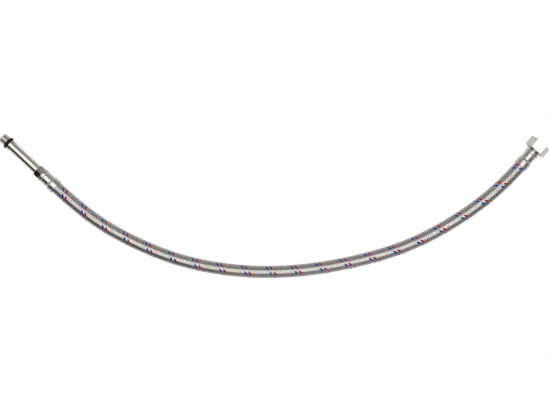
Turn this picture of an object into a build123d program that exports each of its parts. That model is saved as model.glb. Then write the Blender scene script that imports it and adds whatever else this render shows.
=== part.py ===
from build123d import *
import math
import os

# Braided supply line: a rubber hose in a stainless wire braid, crimped at one end onto a long
# male tap tail with an O-ring, and at the other onto a barbed union with a loose swivel nut.
# It lies on a surface at z = 0, midway between its fittings, the tap end towards -X.
# All sizes are in millimetres.

os.makedirs("parts", exist_ok=True)

# ---- hose ---------------------------------------------------------------------------------
hose_diameter = 12.0
braid_thickness = 0.75
liner_bore_radius = 4.0
braid_radius = hose_diameter / 2
liner_radius = braid_radius - braid_thickness

# The hose's route, from inside the tap ferrule to inside the valve ferrule. Its first and last
# runs are the axes of the two fittings. The tap end rests on its ferrule, the nut on a flat.
tap_axis_height = 7.0
valve_axis_height = 9.5
route = [
    (-217, -19, tap_axis_height),
    (-187, -47, tap_axis_height),
    (-146, -73, braid_radius),
    (-94, -95, braid_radius),
    (-38, -105.5, braid_radius),
    (18, -106, braid_radius),
    (74, -97.5, braid_radius),
    (129, -82, braid_radius),
    (177, -57, braid_radius),
    (221, -24, valve_axis_height),
    (244, 2, valve_axis_height),
]
arc_share = 0.45
braid_spans = 12

# ---- crimped ends, as stations from the ferrule's front face into the hose --------------------
lip_thickness = 0.8
hose_end_station = 1.0
bead_end = 2.8
barrel_end = 11.0
skirt_start = 12.2
ferrule_length = 18.4
bead_radius = 6.6
barrel_radius = 6.0
skirt_radius = 6.9
ferrule_wall = 0.6
skirt_clearance = 0.25
crimped_braid_radius = barrel_radius - ferrule_wall
crimped_liner_radius = 4.75
edge_round = 0.25

# ---- barbed spigots ---------------------------------------------------------------------------
waterway_radius = 2.75
spigot_neck_radius = 4.5
barb_crest_radius = 3.98
barb_root_radius = 3.5
barb_pitch = 3.0
barb_count = 5
first_barb_station = 1.6

# ---- tap tail, as lengths from its tip --------------------------------------------------------
thread_radius = 5.0
thread_chamfer = 0.6
thread_end = 6.6
groove_end = 9.9
groove_radius = 3.8
collar_end = 13.7
collar_radius = 5.35
collar_chamfer = 0.3
shank_radius = 4.7
tail_hex_start = 46.5
tail_hex_end = 53.0
tail_hex_across_flats = 11.0
tail_hex_turn = 6.0
tail_neck_radius = 5.0
tail_length = 53.4
o_ring_section = 2.5

# ---- swivel nut and union, as lengths from the nut's back face towards its mouth --------------
nut_gap = 2.0
nut_length = 10.0
nut_across_flats = 19.0
nut_turn = 30.0
nut_back_wall = 1.6
nut_back_bore_radius = 5.6
nut_relief_radius = 8.0
nut_thread_radius = 7.475
nut_thread_start = 5.6
nut_mouth_chamfer = 0.4
flange_start = 1.7
flange_end = 2.9
flange_radius = 7.2
union_neck_radius = 5.3
washer_start = 4.0
washer_end = 5.5
washer_radius = 7.8
washer_bore_radius = 4.5


def run_direction(start, end):
    """The unit vector from one point of the route to the next."""
    return (Vector(*end) - Vector(*start)).normalized()


def end_plane(inner_point, next_point):
    """A fitting's own plane: x along its axis into the hose, y across it, z up."""
    into_hose = run_direction(inner_point, next_point)
    front = Vector(*inner_point) - into_hose * skirt_start
    return Plane(origin=front, x_dir=into_hose, z_dir=(0, 0, 1))


tap_end = end_plane(route[0], route[1])
valve_end = end_plane(route[-1], route[-2])


def turning_axis(end):
    return Axis(end.origin, end.x_dir)


def section_plane(end, station):
    """The plane across a fitting's axis at a station, its own x pointing up."""
    return Plane(origin=end.origin + end.x_dir * station, x_dir=(0, 0, 1), z_dir=end.x_dir)


def profile(end, points):
    """A closed outline of (station, radius) points beside a fitting's axis."""
    with BuildSketch(end) as sketch:
        with BuildLine():
            Polyline(*points, close=True)
        make_face()
    return sketch.sketch


def hexagon_bar(end, start, stop, across_flats, turn):
    """A hexagonal bar along a fitting's axis, its corners turned back at both faces."""
    corner_radius = across_flats / 2 / math.cos(math.radians(30))
    face_radius = across_flats / 2 - 0.1
    bevel = (corner_radius - face_radius) * math.tan(math.radians(30))
    turned = [
        (start, 0),
        (start, face_radius),
        (start + bevel, corner_radius),
        (stop - bevel, corner_radius),
        (stop, face_radius),
        (stop, 0),
    ]
    with BuildPart() as bar:
        with BuildSketch(section_plane(end, start)):
            RegularPolygon(across_flats / 2, 6, major_radius=False, rotation=turn)
        extrude(amount=stop - start)
        revolve(profile(end, turned), axis=turning_axis(end), mode=Mode.INTERSECT)
    return bar.part


def spigot_outline():
    """The barbed end of a tail, from its neck inside the ferrule lip round to its bore."""
    points = [(0, spigot_neck_radius), (lip_thickness, spigot_neck_radius)]
    points.append((lip_thickness, barb_root_radius))
    for barb in range(barb_count):
        crest = first_barb_station + barb * barb_pitch
        points.append((crest, barb_root_radius))
        points.append((crest, barb_crest_radius))
        points.append((crest + barb_pitch - 0.4, barb_root_radius))
    tip = first_barb_station + barb_count * barb_pitch
    return points + [(tip, barb_root_radius), (tip, waterway_radius)]


def crimped_ferrule(end):
    """A pressed sleeve: inturned lip, rolled bead, crimped barrel and plain skirt."""
    bead_slope = 0.5
    outside = [
        (0, spigot_neck_radius),
        (0, bead_radius),
        (bead_end, bead_radius),
        (bead_end + bead_slope, barrel_radius),
        (barrel_end, barrel_radius),
        (skirt_start - 0.2, skirt_radius),
        (ferrule_length, skirt_radius),
    ]
    inside = [
        (ferrule_length, braid_radius + skirt_clearance),
        (skirt_start, braid_radius + skirt_clearance),
        (barrel_end, crimped_braid_radius),
        (bead_end + 0.2, crimped_braid_radius),
        (bead_end - 0.4, bead_radius - ferrule_wall),
        (lip_thickness, bead_radius - ferrule_wall),
        (lip_thickness, spigot_neck_radius),
    ]
    with BuildPart() as sleeve:
        with BuildSketch(end) as section:
            with BuildLine():
                Polyline(*outside, *inside, close=True)
            make_face()
            outer_corners = section.vertices().filter_by(
                lambda corner: end.to_local_coords(corner.center()).Y > bead_radius - 0.01
            )
            fillet(outer_corners, edge_round)
        revolve(axis=turning_axis(end))
    return sleeve.part


def crimped_tube_end(end, crimped_outer, crimped_inner, outer, inner):
    """A tube's last stretch, squeezed inside the ferrule barrel and opening out behind it."""
    points = [
        (hose_end_station, crimped_inner),
        (hose_end_station, crimped_outer),
        (barrel_end, crimped_outer),
        (skirt_start - 0.1, outer),
        (skirt_start, outer),
        (skirt_start, inner),
        (skirt_start - 0.1, inner),
        (barrel_end, crimped_inner),
    ]
    distinct = [p for i, p in enumerate(points) if p != points[i - 1]]
    return profile(end, distinct)


def corner_radii(points):
    """Each corner's bend radius, from the shorter of its two runs and the angle it turns."""
    radii = []
    for before, corner, after in zip(points, points[1:], points[2:]):
        turn = run_direction(before, corner).get_angle(run_direction(corner, after))
        shorter = min(math.dist(before, corner), math.dist(corner, after))
        radii.append(arc_share * shorter / math.tan(math.radians(turn) / 2))
    return radii


bend_radii = corner_radii(route)
print("bend radii", [round(r) for r in bend_radii])

with BuildLine() as route_line:
    FilletPolyline(*route, radius=bend_radii)
hose_path = route_line.wire()
print("route length", round(hose_path.length, 1))
hose_start_plane = Plane(origin=hose_path @ 0, z_dir=hose_path % 0)

# ---- tap tail ---------------------------------------------------------------------------------
tail_outline = [
    (0, waterway_radius),
    (0, thread_radius - thread_chamfer),
    (thread_chamfer, thread_radius),
    (thread_end, thread_radius),
    (thread_end, groove_radius),
    (groove_end, groove_radius),
    (groove_end, collar_radius - collar_chamfer),
    (groove_end + collar_chamfer, collar_radius),
    (collar_end - collar_chamfer, collar_radius),
    (collar_end, collar_radius - collar_chamfer),
    (collar_end, shank_radius),
    (tail_hex_start, shank_radius),
    (tail_hex_start, tail_neck_radius),
    (tail_length, tail_neck_radius),
]
tail_points = [(length - tail_length, radius) for length, radius in tail_outline]

with BuildPart() as tap_tail:
    revolve(profile(tap_end, tail_points + spigot_outline()), axis=turning_axis(tap_end))
    add(
        hexagon_bar(
            tap_end,
            tail_hex_start - tail_length,
            tail_hex_end - tail_length,
            tail_hex_across_flats,
            tail_hex_turn,
        )
    )
    with BuildSketch(section_plane(tap_end, -tail_length)):
        Circle(waterway_radius)
    extrude(amount=tail_length, mode=Mode.SUBTRACT)
tap_tail.part.label = "tap_tail"

# ---- tap O-ring, seated in the groove behind the thread ----------------------------------------
o_ring_station = (thread_end + groove_end) / 2 - tail_length
o_ring_mean_radius = groove_radius + o_ring_section / 2

with BuildPart() as tap_o_ring:
    with BuildSketch(tap_end):
        with Locations((o_ring_station, o_ring_mean_radius)):
            Circle(o_ring_section / 2)
    revolve(axis=turning_axis(tap_end))
tap_o_ring.part.label = "tap_o_ring"

# ---- crimped ferrules, one at each end of the hose ---------------------------------------------
with BuildPart() as tap_ferrule:
    add(crimped_ferrule(tap_end))
tap_ferrule.part.label = "tap_ferrule"

with BuildPart() as valve_ferrule:
    add(crimped_ferrule(valve_end))
valve_ferrule.part.label = "valve_ferrule"

# ---- rubber hose, with its bore open from end to end -------------------------------------------
with BuildPart() as inner_hose:
    with BuildSketch(hose_start_plane):
        Circle(liner_radius)
        Circle(liner_bore_radius, mode=Mode.SUBTRACT)
    sweep(path=hose_path)
    for end in (tap_end, valve_end):
        revolve(
            crimped_tube_end(
                end, crimped_liner_radius, liner_bore_radius, liner_radius, liner_bore_radius
            ),
            axis=turning_axis(end),
        )
inner_hose.part.label = "inner_hose"

# ---- wire braid, a sleeve over the rubber, in short spans that meet face to face ----------------
with BuildPart() as wire_braid:
    with BuildSketch(hose_start_plane):
        Circle(braid_radius)
        Circle(liner_radius, mode=Mode.SUBTRACT)
    sweep(path=hose_path)
    for end in (tap_end, valve_end):
        revolve(
            crimped_tube_end(
                end, crimped_braid_radius, crimped_liner_radius, braid_radius, liner_radius
            ),
            axis=turning_axis(end),
        )
    for span in range(1, braid_spans):
        share = span / braid_spans
        split(bisect_by=Plane(origin=hose_path @ share, z_dir=hose_path % share), keep=Keep.BOTH)
wire_braid.part.label = "wire_braid"

sleeve_section = math.pi * (braid_radius**2 - liner_radius**2)
swept_length = wire_braid.part.volume / sleeve_section
print("braid volume over section", round(swept_length, 1))

# ---- union tail: barbed spigot, neck and the flange that the nut pulls on ------------------------
union_outline = [
    (-nut_gap - flange_end, waterway_radius),
    (-nut_gap - flange_end, flange_radius),
    (-nut_gap - flange_start, flange_radius),
    (-nut_gap - flange_start, union_neck_radius),
    (0, union_neck_radius),
]

with BuildPart() as union_tail:
    revolve(profile(valve_end, union_outline + spigot_outline()), axis=turning_axis(valve_end))
union_tail.part.label = "union_tail"

# ---- swivel nut --------------------------------------------------------------------------------
nut_cavity = [
    (0, 0),
    (0, nut_back_bore_radius),
    (nut_back_wall, nut_back_bore_radius),
    (nut_back_wall, nut_relief_radius),
    (nut_thread_start, nut_relief_radius),
    (nut_thread_start, nut_thread_radius),
    (nut_length - nut_mouth_chamfer, nut_thread_radius),
    (nut_length, nut_thread_radius + nut_mouth_chamfer),
    (nut_length, 0),
]
cavity_points = [(-nut_gap - length, radius) for length, radius in nut_cavity]

with BuildPart() as swivel_nut:
    add(
        hexagon_bar(
            valve_end, -nut_gap - nut_length, -nut_gap, nut_across_flats, nut_turn
        )
    )
    revolve(
        profile(valve_end, cavity_points), axis=turning_axis(valve_end), mode=Mode.SUBTRACT
    )
swivel_nut.part.label = "swivel_nut"

# ---- sealing washer, held in the nut behind its thread -------------------------------------------
with BuildPart() as sealing_washer:
    with BuildSketch(section_plane(valve_end, -nut_gap - washer_end)):
        Circle(washer_radius)
        Circle(washer_bore_radius, mode=Mode.SUBTRACT)
    extrude(amount=washer_end - washer_start)
sealing_washer.part.label = "sealing_washer"

for piece in (
    tap_tail,
    tap_o_ring,
    tap_ferrule,
    inner_hose,
    wire_braid,
    valve_ferrule,
    union_tail,
    sealing_washer,
    swivel_nut,
):
    export_step(piece.part, "parts/" + piece.part.label + ".step")
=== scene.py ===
import math

import bpy
import numpy as np
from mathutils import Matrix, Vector


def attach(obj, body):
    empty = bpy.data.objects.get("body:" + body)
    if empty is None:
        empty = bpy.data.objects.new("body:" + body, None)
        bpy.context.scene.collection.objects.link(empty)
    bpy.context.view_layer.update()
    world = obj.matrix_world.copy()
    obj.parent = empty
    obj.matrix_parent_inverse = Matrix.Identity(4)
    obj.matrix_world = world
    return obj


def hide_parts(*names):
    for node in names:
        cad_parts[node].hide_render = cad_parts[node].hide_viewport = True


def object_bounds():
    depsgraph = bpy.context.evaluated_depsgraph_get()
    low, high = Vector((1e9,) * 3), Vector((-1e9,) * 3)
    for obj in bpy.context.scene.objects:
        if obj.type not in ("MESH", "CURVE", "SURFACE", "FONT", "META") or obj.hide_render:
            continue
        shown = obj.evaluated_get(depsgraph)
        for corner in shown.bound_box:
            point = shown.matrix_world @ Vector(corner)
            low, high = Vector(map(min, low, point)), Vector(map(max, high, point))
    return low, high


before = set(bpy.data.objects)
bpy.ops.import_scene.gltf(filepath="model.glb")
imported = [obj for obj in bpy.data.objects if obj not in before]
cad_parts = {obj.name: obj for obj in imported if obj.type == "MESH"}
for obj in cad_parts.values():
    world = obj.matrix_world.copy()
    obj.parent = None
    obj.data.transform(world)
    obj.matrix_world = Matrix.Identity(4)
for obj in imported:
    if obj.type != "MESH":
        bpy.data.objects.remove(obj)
cad_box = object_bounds()

MM = 0.001

# ---- sizes, in metres --------------------------------------------------------------------------
ROUTE = [
    (-0.217, -0.019, 0.007),
    (-0.187, -0.047, 0.007),
    (-0.146, -0.073, 0.006),
    (-0.094, -0.095, 0.006),
    (-0.038, -0.1055, 0.006),
    (0.018, -0.106, 0.006),
    (0.074, -0.0975, 0.006),
    (0.129, -0.082, 0.006),
    (0.177, -0.057, 0.006),
    (0.221, -0.024, 0.0095),
    (0.244, 0.002, 0.0095),
]
HOSE_INSIDE_FERRULE = 12.2 * MM
FERRULE_LENGTH = 18.4 * MM

LINER_RADIUS = 5.25 * MM
LINER_BORE = 4.0 * MM

CARRIERS_EACH_WAY = 12
BRAID_PITCH = 24.51 * MM
BRAID_PHASE = math.radians(66.5)
BRAID_MEAN_RADIUS = 5.63 * MM
BRAID_WAVE = 0.17 * MM
BAND_WIDTH = 1.54 * MM
YARN_WIDTH = 1.85 * MM
WIRES_PER_BAND = 5
WIRE_RIDGE = 0.07 * MM
BAND_THICKNESS = 0.15 * MM
WALES = 6
WALE_ANGLE = math.radians(16)
STEPS_PER_TURN = 48

ROUND_STEPS = 96
LINER_STATIONS = 260
LINER_ROUND_STEPS = 48
CROSSING_STEEPNESS = 2.2
UNDERSIDE_SHARE = 0.42

CAMERA_HEIGHT = 1.323
CAMERA_LENS = 88.25
CAMERA_ASIDE = (1.2 * MM, -0.5 * MM)


# ---- camera ------------------------------------------------------------------------------------
def add_camera():
    """Straight above the middle of the arc, with the line running across the picture."""
    low, high = cad_box
    middle_x = (low[0] + high[0]) / 2 + CAMERA_ASIDE[0]
    middle_y = (low[1] + high[1]) / 2 + CAMERA_ASIDE[1]
    data = bpy.data.cameras.new("camera")
    data.sensor_width = 36
    data.lens = CAMERA_LENS
    camera = bpy.data.objects.new("camera", data)
    camera.location = (middle_x, middle_y, CAMERA_HEIGHT)
    bpy.context.scene.collection.objects.link(camera)
    bpy.context.scene.camera = camera


add_camera()


# ---- the hose's line ---------------------------------------------------------------------------
def smooth_line(points, resolution):
    """Points along the NURBS spline whose control points are the route."""
    curve = bpy.data.curves.new("route", "CURVE")
    curve.dimensions = "3D"
    curve.resolution_u = resolution
    spline = curve.splines.new("NURBS")
    spline.points.add(len(points) - 1)
    for target, point in zip(spline.points, points):
        target.co = (*point, 1)
    spline.order_u = 3
    spline.use_endpoint_u = True
    holder = bpy.data.objects.new("route", curve)
    bpy.context.scene.collection.objects.link(holder)
    bpy.context.view_layer.update()
    graph = bpy.context.evaluated_depsgraph_get()
    mesh = bpy.data.meshes.new_from_object(holder.evaluated_get(graph))
    line = np.array([v.co for v in mesh.vertices], float)
    bpy.data.objects.remove(holder)
    bpy.data.meshes.remove(mesh)
    return line


class Line:
    """The hose's centreline with a frame that keeps one side up all along it."""

    def __init__(self, points):
        steps = np.linalg.norm(np.diff(points, axis=0), axis=1)
        keep = np.r_[True, steps > 1e-7]
        self.points = points[keep]
        self.at = np.r_[0, np.cumsum(np.linalg.norm(np.diff(self.points, axis=0), axis=1))]
        self.length = self.at[-1]
        self.along = np.gradient(self.points, self.at, axis=0)
        self.along /= np.linalg.norm(self.along, axis=1)[:, None]

    def frames(self, distance):
        """Centre, up and side vectors at each distance along the line."""
        centre = np.stack([np.interp(distance, self.at, c) for c in self.points.T], -1)
        along = np.stack([np.interp(distance, self.at, c) for c in self.along.T], -1)
        along /= np.linalg.norm(along, axis=-1, keepdims=True)
        side = np.cross(along, (0, 0, 1))
        side /= np.linalg.norm(side, axis=-1, keepdims=True)
        return centre, np.cross(side, along), side

    def around(self, distance, angle, radius):
        """Points at an angle from the top, towards the line's right-hand side."""
        centre, up, side = self.frames(distance)
        cos, sin = np.cos(angle)[..., None], np.sin(angle)[..., None]
        return centre + np.asarray(radius)[..., None] * (cos * up + sin * side)


hose_line = Line(smooth_line(ROUTE, 64))


# ---- mesh helpers ------------------------------------------------------------------------------
def new_piece(name, vertices, faces, material, body, sharp=None):
    """A smooth-shaded mesh that rides on a body; edges above the sharp angle stay crisp."""
    mesh = bpy.data.meshes.new(name)
    faces = np.asarray(faces, np.int32)
    vertices = np.asarray(vertices, np.float32).reshape(-1, 3)
    corners = faces.shape[1]
    mesh.vertices.add(len(vertices))
    mesh.vertices.foreach_set("co", vertices.ravel())
    mesh.loops.add(faces.size)
    mesh.loops.foreach_set("vertex_index", faces.ravel())
    mesh.polygons.add(len(faces))
    mesh.polygons.foreach_set("loop_start", np.arange(len(faces), dtype=np.int32) * corners)
    mesh.polygons.foreach_set("loop_total", np.full(len(faces), corners, np.int32))
    mesh.update(calc_edges=True)
    mesh.validate()
    mesh.polygons.foreach_set("use_smooth", np.ones(len(mesh.polygons), bool))
    if sharp is not None:
        mesh.set_sharp_from_angle(angle=math.radians(sharp))
    mesh.materials.append(material)
    piece = bpy.data.objects.new(name, mesh)
    bpy.context.scene.collection.objects.link(piece)
    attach(piece, body)
    return piece


def grid_faces(rows, columns, close_rows, close_columns, first=0):
    """Quads of a rows by columns grid, closed round either way if asked."""
    row = np.arange(rows if close_rows else rows - 1)
    column = np.arange(columns if close_columns else columns - 1)
    r, c = np.meshgrid(row, column, indexing="ij")
    r2, c2 = (r + 1) % rows, (c + 1) % columns
    quads = np.stack([r * columns + c, r * columns + c2, r2 * columns + c2, r2 * columns + c], -1)
    return quads.reshape(-1, 4) + first


# ---- materials ---------------------------------------------------------------------------------
def node(tree, kind, **inputs):
    made = tree.nodes.new(kind)
    for name, value in inputs.items():
        made.inputs[name.replace("_", " ")].default_value = value
    return made


def new_material(name, roughness, metallic, **sockets):
    material = bpy.data.materials.new(name)
    material.use_nodes = True
    tree = material.node_tree
    shader = tree.nodes["Principled BSDF"]
    shader.inputs["Roughness"].default_value = roughness
    shader.inputs["Metallic"].default_value = metallic
    for socket, value in sockets.items():
        shader.inputs[socket.replace("_", " ")].default_value = value
    return material, tree, shader


def noise(tree, scale, detail=3.0):
    place = tree.nodes.new("ShaderNodeTexCoord")
    texture = node(tree, "ShaderNodeTexNoise", Scale=scale, Detail=detail)
    tree.links.new(place.outputs["Object"], texture.inputs["Vector"])
    return texture.outputs["Fac"]


def ramp(tree, source, low, high):
    """Two colours or two grey values, blended over the middle of a texture's range."""
    made = tree.nodes.new("ShaderNodeValToRGB")
    made.color_ramp.elements[0].position = 0.3
    made.color_ramp.elements[1].position = 0.7
    for element, value in zip(made.color_ramp.elements, (low, high)):
        element.color = (*value, 1) if hasattr(value, "__len__") else (value,) * 3 + (1,)
    tree.links.new(source, made.inputs["Fac"])
    return made.outputs["Color"]


def bump(tree, shader, source, height, strength):
    made = node(tree, "ShaderNodeBump", Strength=strength, Distance=height)
    tree.links.new(source, made.inputs["Height"])
    tree.links.new(made.outputs["Normal"], shader.inputs["Normal"])


def nickel_material(name, dark, light):
    material, tree, shader = new_material(name, 0.1, 1.0)
    colour = ramp(tree, noise(tree, 90), dark, light)
    tree.links.new(colour, shader.inputs["Base Color"])
    rough = ramp(tree, noise(tree, 350, 5), 0.06, 0.13)
    tree.links.new(rough, shader.inputs["Roughness"])
    bump(tree, shader, noise(tree, 900, 2), 0.01 * MM, 0.25)
    return material


def sleeve_material():
    material, tree, shader = new_material("stainless_sleeve", 0.24, 1.0)
    colour = ramp(tree, noise(tree, 120), (0.70, 0.68, 0.655), (0.80, 0.785, 0.765))
    tree.links.new(colour, shader.inputs["Base Color"])
    rough = ramp(tree, noise(tree, 420, 5), 0.18, 0.30)
    tree.links.new(rough, shader.inputs["Roughness"])
    bump(tree, shader, noise(tree, 700, 3), 0.02 * MM, 0.6)
    return material


def wire_material():
    material, tree, shader = new_material("braid_wire", 0.26, 1.0)
    colour = ramp(tree, noise(tree, 700, 4), (0.50, 0.488, 0.470), (0.80, 0.785, 0.76))
    tree.links.new(colour, shader.inputs["Base Color"])
    rough = ramp(tree, noise(tree, 1500, 3), 0.20, 0.36)
    tree.links.new(rough, shader.inputs["Roughness"])
    return material


def yarn_material(name, dark, light):
    material, tree, shader = new_material(name, 0.6, 0.0, Specular_IOR_Level=0.25)
    colour = ramp(tree, noise(tree, 1800, 4), dark, light)
    tree.links.new(colour, shader.inputs["Base Color"])
    bump(tree, shader, noise(tree, 4000, 2), 0.02 * MM, 0.6)
    return material


def rubber_material():
    material, tree, shader = new_material("black_rubber", 0.55, 0.0, Specular_IOR_Level=0.35)
    colour = ramp(tree, noise(tree, 500, 4), (0.003, 0.003, 0.0035), (0.009, 0.009, 0.0095))
    tree.links.new(colour, shader.inputs["Base Color"])
    rough = ramp(tree, noise(tree, 800, 4), 0.45, 0.65)
    tree.links.new(rough, shader.inputs["Roughness"])
    bump(tree, shader, noise(tree, 1600, 3), 0.02 * MM, 0.5)
    return material


NICKEL = nickel_material("nickel_plate", (0.80, 0.775, 0.735), (0.86, 0.84, 0.81))
# A darker copy of the nickel plate: painted shade, standing for the dark recess between the nut's
# back and the ferrule.
NICKEL_PAINTED_SHADE = nickel_material("nickel_plate_painted_shade", (0.34, 0.325, 0.31), (0.44, 0.425, 0.40))
SLEEVE = sleeve_material()
WIRE = wire_material()
BLUE = yarn_material("tracer_blue", (0.0, 0.05, 0.56), (0.0, 0.14, 0.90))
RED = yarn_material("tracer_red", (0.62, 0.0, 0.004), (0.92, 0.004, 0.012))
RUBBER = rubber_material()


# ---- rubber hose -------------------------------------------------------------------------------
def make_liner():
    """A thick-walled tube from one crimp to the other, open at both ends."""
    stations = np.linspace(0, hose_line.length, LINER_STATIONS)
    angles = np.linspace(0, 2 * math.pi, LINER_ROUND_STEPS, endpoint=False)
    wall = [(stations, LINER_RADIUS), (stations[::-1], LINER_BORE)]
    rows = []
    for distances, radius in wall:
        d, a = np.meshgrid(distances, angles, indexing="ij")
        rows.append(hose_line.around(d, a, np.full(d.shape, radius)))
    points = np.concatenate(rows)
    faces = grid_faces(len(points), len(angles), True, True)
    liner = new_piece("rubber_liner", points, faces, RUBBER, "supply_line", 40)
    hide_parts("inner_hose")
    return liner


# ---- wire braid --------------------------------------------------------------------------------
def band_section(width):
    """Offsets across one carrier and heights on it: a row of wire tops, then a flat underside."""
    top = 2 * WIRES_PER_BAND + 1
    across = np.linspace(-0.5, 0.5, top) * width
    height = np.where(np.arange(top) % 2, WIRE_RIDGE, 0.0) + BAND_THICKNESS / 2
    height[[0, -1]] = 0.0
    across = np.r_[across, width * UNDERSIDE_SHARE, -width * UNDERSIDE_SHARE]
    height = np.r_[height, -BAND_THICKNESS / 2, -BAND_THICKNESS / 2]
    return across, height


def carrier(index, hand, width):
    """One carrier's band: it winds round the hose, over and under the carriers it meets."""
    turns = hose_line.length / BRAID_PITCH
    count = int(STEPS_PER_TURN * turns) + 1
    middle = np.linspace(0, hose_line.length, count)
    start = BRAID_PHASE + 2 * math.pi * index / CARRIERS_EACH_WAY
    winding = start + hand * 2 * math.pi * middle / BRAID_PITCH
    across, height = band_section(width)
    slope = math.atan(2 * math.pi * BRAID_MEAN_RADIUS / BRAID_PITCH)
    along_shift = np.sin(slope) * across
    turn_shift = -hand * np.cos(slope) * across / BRAID_MEAN_RADIUS
    distance = np.clip(middle[:, None] + along_shift[None], 0, hose_line.length)
    angle = winding[:, None] + turn_shift[None]
    wave = np.cos(WALES * (angle - WALE_ANGLE))
    level = np.tanh(CROSSING_STEEPNESS * wave) / math.tanh(CROSSING_STEEPNESS)
    radius = BRAID_MEAN_RADIUS + hand * BRAID_WAVE * level + height[None]
    return hose_line.around(distance, angle, radius)


def make_braid(name, members, material, width=BAND_WIDTH):
    """Several carriers of one kind in one mesh."""
    parts, faces, first = [], [], 0
    for index, hand in members:
        points = carrier(index, hand, width)
        rows, columns = points.shape[:2]
        quads = grid_faces(rows, columns, False, True, first)
        if hand > 0:
            quads = quads[:, ::-1]
        parts.append(points.reshape(-1, 3))
        faces.append(quads)
        first += rows * columns
    points, faces = np.concatenate(parts), np.concatenate(faces)
    return new_piece(name, points, faces, material, "supply_line")


BLUE_CARRIER = 2
RED_CARRIER = 0


def make_braids():
    right = [(i, 1) for i in range(CARRIERS_EACH_WAY) if i not in (BLUE_CARRIER, RED_CARRIER)]
    left = [(i, -1) for i in range(CARRIERS_EACH_WAY)]
    made = [
        make_braid("braid_right_hand_a", right[:5], WIRE),
        make_braid("braid_right_hand_b", right[5:], WIRE),
        make_braid("braid_left_hand_a", left[:6], WIRE),
        make_braid("braid_left_hand_b", left[6:], WIRE),
        make_braid("tracer_blue", [(BLUE_CARRIER, 1)], BLUE, YARN_WIDTH),
        make_braid("tracer_red", [(RED_CARRIER, 1)], RED, YARN_WIDTH),
    ]
    for piece in made:
        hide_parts("wire_braid")
    return made


liner = make_liner()
braids = make_braids()
hose_exit = hose_line.frames(np.array([FERRULE_LENGTH - HOSE_INSIDE_FERRULE]))[0][0]


# ---- turned parts, in millimetres --------------------------------------------------------------
class End:
    """A fitting's axis: stations run from the ferrule's front face into the hose."""

    def __init__(self, inner, next_point):
        inner, next_point = Vector(inner), Vector(next_point)
        self.along = np.array((next_point - inner).normalized())
        self.front = np.array(inner) - self.along * HOSE_INSIDE_FERRULE
        self.side = np.cross(self.along, (0, 0, 1))
        self.up = np.array((0.0, 0.0, 1.0))

    def place(self, station, radius, angle):
        """Points by station, radius and angle from the top towards the right-hand side."""
        ring = np.cos(angle)[..., None] * self.up + np.sin(angle)[..., None] * self.side
        return self.front + station[..., None] * self.along + radius[..., None] * ring


TAP = End(ROUTE[0], ROUTE[1])
VALVE = End(ROUTE[-1], ROUTE[-2])


def rounded(outline, radius, steps=3):
    """A closed outline with each corner replaced by a small arc, its points (station, radius)."""
    made = []
    count = len(outline)
    for i, corner in enumerate(outline):
        here = np.array(corner[:2], float)
        before = np.array(outline[i - 1][:2], float) - here
        after = np.array(outline[(i + 1) % count][:2], float) - here
        size = corner[2] if len(corner) > 2 else radius
        reach = min(size, np.linalg.norm(before) * 0.45, np.linalg.norm(after) * 0.45)
        if reach < 1e-3:
            made.append(tuple(here))
            continue
        a = here + before / np.linalg.norm(before) * reach
        b = here + after / np.linalg.norm(after) * reach
        for t in np.linspace(0, 1, steps + 1):
            point = (1 - t) ** 2 * a + 2 * t * (1 - t) * here + t**2 * b
            made.append(tuple(point))
    return made


def spaced_outline(outline, longest):
    """The same outline with no step longer than asked."""
    made = []
    for here, following in zip(outline, outline[1:] + outline[:1]):
        here, following = np.array(here), np.array(following)
        pieces = max(1, math.ceil(np.linalg.norm(following - here) / longest))
        made += [tuple(here + (following - here) * k / pieces) for k in range(pieces)]
    return made


def turned(name, end, outline, material, body, node_name, shape=None, phase=0.0, sharp=35):
    """A closed outline turned round a fitting's axis; shape changes the radius by angle."""
    station = np.array([p[0] for p in outline]) * MM
    radius = np.array([p[1] for p in outline]) * MM
    angles = phase + np.linspace(0, 2 * math.pi, ROUND_STEPS, endpoint=False)
    s, a = np.meshgrid(station, angles, indexing="ij")
    r = np.repeat(radius[:, None], len(angles), 1)
    if shape is not None:
        r = shape(s / MM, r / MM, a) * MM
    piece = new_piece(
        name, end.place(s, r, a), grid_faces(len(station), len(angles), True, True)[:, ::-1],
        material, body, sharp,
    )
    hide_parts(node_name)
    return piece


def hexagon_radius(angle, across_flats, first_corner):
    """The radius of a hexagon at an angle, with a corner at first_corner."""
    sector = math.pi / 3
    from_flat = (angle - first_corner) % sector - sector / 2
    return across_flats / 2 / np.cos(from_flat)


def thread_height(station, angle, pitch, depth):
    """The rise of a right-hand thread above its root, with flattened crests and roots."""
    turn = (station / pitch + angle / (2 * math.pi)) % 1.0
    rise = 1 - np.abs(turn - 0.5) * 2
    return depth * np.clip((rise - 0.12) / 0.70, 0, 1)


def fade(station, low, high, run):
    """One between low and high, falling to zero over a run at each end."""
    return np.clip(np.minimum(station - low, high - station) / run, 0, 1)


# ---- tap tail ----------------------------------------------------------------------------------
TAIL_LENGTH = 53.4
TAIL_HEX = (46.5, 53.0)
TAIL_HEX_FLATS = 11.0
TAIL_HEX_CORNER = math.radians(1)
TAIL_THREAD_RADIUS = 5.0
TAIL_THREAD_PITCH = 1.0
TAIL_THREAD_END = 6.5
TAIL_THREAD_DEPTH = 0.61
GROOVE_RADIUS = 3.8
O_RING_SECTION = 2.5
O_RING_MIDDLE = 8.25


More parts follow.
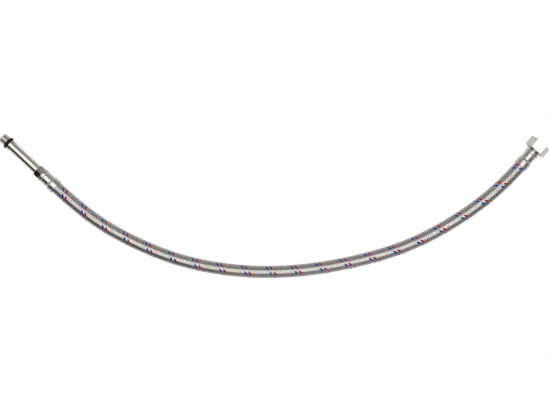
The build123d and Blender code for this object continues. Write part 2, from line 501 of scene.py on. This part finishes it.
def tail_shape(station, radius, angle):
    """The tail's thread and hexagon."""
    length = station + TAIL_LENGTH
    threaded = (radius > 4.3) & (length < TAIL_THREAD_END)
    rise = thread_height(length, angle, TAIL_THREAD_PITCH, TAIL_THREAD_DEPTH)
    run_in, run_out = np.clip(0.75 - length, 0, 1), np.clip(length - 5.9, 0, 1) * 0.9
    crest = TAIL_THREAD_RADIUS - run_in - run_out
    cut = np.minimum(TAIL_THREAD_RADIUS - TAIL_THREAD_DEPTH + rise, crest)
    radius = np.where(threaded, np.minimum(radius, cut), radius)
    on_hexagon = (length > TAIL_HEX[0] + 0.01) & (length < TAIL_HEX[1] - 0.01) & (radius > 5.6)
    flats = hexagon_radius(angle, TAIL_HEX_FLATS, TAIL_HEX_CORNER)
    return np.where(on_hexagon, np.minimum(radius, flats), radius)


def make_tap_tail():
    """Thread, O-ring groove, collar, plain shank, hexagon and spigot in one turned piece."""
    corner = TAIL_HEX_FLATS / 2 / math.cos(math.pi / 6)
    flat = TAIL_HEX_FLATS / 2
    outline = [
        (0, 2.75), (0, 4.35), (0.65, 5.0), (6.6, 5.0),
        (6.6, GROOVE_RADIUS), (9.9, GROOVE_RADIUS), (9.9, 5.35),
        (13.7, 5.35), (13.7, 4.7), (TAIL_HEX[0], 4.7),
        (TAIL_HEX[0], flat - 0.15, 0), (TAIL_HEX[0] + 0.6, corner, 0),
        (TAIL_HEX[1] - 0.6, corner, 0), (TAIL_HEX[1], flat - 0.15, 0),
        (TAIL_HEX[1], 5.0), (TAIL_LENGTH, 5.0), (TAIL_LENGTH, 4.5), (TAIL_LENGTH + 0.8, 4.5),
        (TAIL_LENGTH + 0.8, 3.9), (TAIL_LENGTH + 16.6, 3.9), (TAIL_LENGTH + 16.6, 2.75),
    ]
    smooth = spaced_outline(rounded(outline, 0.22), 0.125)
    shifted = [(s - TAIL_LENGTH, r) for s, r in smooth]
    return turned(
        "tap_tail_threaded", TAP, shifted, NICKEL, "supply_line", "tap_tail",
        tail_shape, TAIL_HEX_CORNER,
    )


def make_o_ring():
    """The O-ring, standing proud of its groove."""
    radius = O_RING_SECTION / 2
    middle, mean = O_RING_MIDDLE - TAIL_LENGTH, GROOVE_RADIUS + radius
    around = np.linspace(0, 2 * math.pi, 32, endpoint=False)
    outline = [(middle + radius * math.cos(t), mean + radius * math.sin(t)) for t in -around]
    return turned(
        "o_ring", TAP, outline, RUBBER, "supply_line", "tap_o_ring", sharp=None
    )


# ---- ferrules ----------------------------------------------------------------------------------
def make_ferrule(name, end, node_name):
    """A crimped sleeve: rolled bead, squeezed barrel and plain skirt."""
    outline = [
        (0, 4.5, 0), (0, 6.6, 0.35), (2.8, 6.6, 0.35), (3.3, 6.0, 0.25), (11.0, 6.0, 0.4),
        (12.0, 6.9, 0.4), (18.4, 6.9, 0.2), (18.4, 6.25, 0.2), (12.2, 6.25, 0),
        (11.0, 5.4, 0), (3.0, 5.4, 0), (2.4, 6.0, 0), (0.8, 6.0, 0), (0.8, 4.5, 0),
    ]
    smooth = spaced_outline(rounded(outline, 0.2, 4), 0.6)
    return turned(name, end, smooth, SLEEVE, "supply_line", node_name)


# ---- swivel nut --------------------------------------------------------------------------------
NUT_BACK = -2.0
NUT_LENGTH = 10.0
NUT_FLATS = 19.0
NUT_CORNER = math.radians(30)
NUT_THREAD_PITCH = 1.337
NUT_THREAD_DEPTH = 0.82
NUT_THREAD_CREST = 7.475
NUT_THREAD_ROOT = 8.2


def nut_shape(station, radius, angle):
    """The nut's hexagon and its inside thread."""
    length = NUT_BACK - station
    flats = hexagon_radius(angle, NUT_FLATS, NUT_CORNER)
    outside = np.minimum(radius, flats)
    rise = thread_height(-length, angle, NUT_THREAD_PITCH, NUT_THREAD_DEPTH)
    rise = rise * fade(length, 5.7, 9.9, 0.5)
    threaded = (radius < 7.9) & (length > 5.75) & (length < 9.7)
    inside = np.where(threaded, np.maximum(NUT_THREAD_ROOT - rise, NUT_THREAD_CREST), radius)
    return np.where(radius > 8.9, outside, inside)


def make_nut():
    """The hexagon nut, with its back wall, washer relief and inside thread."""
    corner = NUT_FLATS / 2 / math.cos(math.pi / 6)
    flat = NUT_FLATS / 2
    outline = [
        (0, 5.6), (0, flat, 0), (0.45, corner, 0), (NUT_LENGTH - 0.45, corner, 0),
        (NUT_LENGTH, flat, 0), (NUT_LENGTH, NUT_THREAD_ROOT, 0), (9.6, 7.6, 0), (5.6, 7.6, 0),
        (5.6, 8.0, 0), (1.6, 8.0), (1.6, 5.6),
    ]
    smooth = spaced_outline(rounded(outline, 0.15), 0.14)
    shifted = [(NUT_BACK - s, r) for s, r in reversed(smooth)]
    return turned(
        "swivel_nut_threaded", VALVE, shifted, NICKEL, "nut", "swivel_nut",
        nut_shape, NUT_CORNER,
    )


make_tap_tail()
make_o_ring()
make_ferrule("tap_crimp_sleeve", TAP, "tap_ferrule")
make_ferrule("valve_crimp_sleeve", VALVE, "valve_ferrule")
make_nut()

# The union tail takes the darker nickel copy as painted shade for the dark gap behind the nut;
# the washer takes rubber.
for kept_name, kept_material in (("union_tail", NICKEL_PAINTED_SHADE), ("sealing_washer", RUBBER)):
    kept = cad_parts[kept_name]
    kept.data.materials.clear()
    kept.data.materials.append(kept_material)


# ---- floor and light ---------------------------------------------------------------------------
WARM_WHITE = (1.0, 0.99, 0.975)
FLOOR_SIZE = 8.0
DOME_RADIUS = 12
LIGHT_PLACE = (0.0, -0.12, 1.7)
LIGHT_SIZE = (2.0, 2.0)
LIGHT_RADIANCE = 1.07
LIGHT_COLOUR = (1.0, 0.985, 0.955)
WORLD_STRENGTH = 0.27
FLOOR_GLOW = 0.14


def flat_mesh(name, width, depth, material):
    mesh = bpy.data.meshes.new(name)
    x, y = width / 2, depth / 2
    mesh.from_pydata([(-x, -y, 0), (x, -y, 0), (x, y, 0), (-x, y, 0)], [], [(0, 1, 2, 3)])
    mesh.materials.append(material)
    return mesh


def stage_piece(name, mesh, seen_by_camera, seen_in_metal):
    """Part of the studio: what the camera sees and what the metal reflects are set apart."""
    piece = bpy.data.objects.new(name, mesh)
    bpy.context.scene.collection.objects.link(piece)
    piece.visible_camera = seen_by_camera
    piece.visible_glossy = seen_in_metal
    piece.visible_diffuse = seen_in_metal
    piece.visible_shadow = False
    return piece


def glowing_material(name, grey, glow, tint=(1.0, 1.0, 1.0)):
    material, _, shader = new_material(name, 0.8, 0.0, Emission_Strength=glow)
    shader.inputs["Base Color"].default_value = (grey, grey, grey, 1)
    shader.inputs["Emission Color"].default_value = (*tint, 1)
    return material


def add_paper():
    """The white paper under the line, which lights it from below and shows in the metal."""
    paper = glowing_material("floor_paper", 0.85, FLOOR_GLOW, WARM_WHITE)
    sheet = flat_mesh("floor_paper", FLOOR_SIZE, FLOOR_SIZE, paper)
    floor = stage_piece("floor_paper", sheet, False, True)
    floor.location.z = -0.2 * MM


def add_backdrop():
    """A white dome all round, seen by the camera only."""
    bpy.ops.mesh.primitive_uv_sphere_add(radius=DOME_RADIUS, segments=48, ring_count=24)
    made = bpy.context.object
    mesh = made.data
    bpy.data.objects.remove(made)
    mesh.materials.append(glowing_material("backdrop_white", 0.0, 1.0))
    stage_piece("backdrop", mesh, True, False)


def add_overhead_light():
    """One large soft light overhead, aimed at the middle of the line."""
    data = bpy.data.lights.new("overhead", "AREA")
    data.shape = "RECTANGLE"
    data.size, data.size_y = LIGHT_SIZE
    data.energy = LIGHT_RADIANCE * math.pi * LIGHT_SIZE[0] * LIGHT_SIZE[1]
    data.color = LIGHT_COLOUR
    light = bpy.data.objects.new("overhead", data)
    light.location = LIGHT_PLACE
    light.rotation_euler = (-Vector(LIGHT_PLACE)).to_track_quat("-Z", "Y").to_euler()
    bpy.context.scene.collection.objects.link(light)
    light.visible_camera = False


def add_dark_card(name, place, width, height):
    """A dark card standing on the floor, seen in the metal only."""
    sheet = flat_mesh(name, width, height, glowing_material(name, 0.01, 0.0))
    card = stage_piece(name, sheet, False, True)
    card.location = place
    card.visible_diffuse = False
    card.rotation_euler = (-Vector(place)).to_track_quat("Z", "Y").to_euler()


def add_world():
    world = bpy.data.worlds.new("studio")
    world.use_nodes = True
    background = world.node_tree.nodes["Background"]
    background.inputs["Color"].default_value = (*WARM_WHITE, 1)
    background.inputs["Strength"].default_value = WORLD_STRENGTH
    bpy.context.scene.world = world


add_paper()
add_backdrop()
add_world()
add_overhead_light()
add_dark_card("low_left_card", (-0.75, -0.8, 0.38), 1.5, 0.8)
add_dark_card("low_right_card", (0.95, -0.8, 0.2), 0.9, 0.4)
bpy.context.scene.view_settings.view_transform = "Standard"
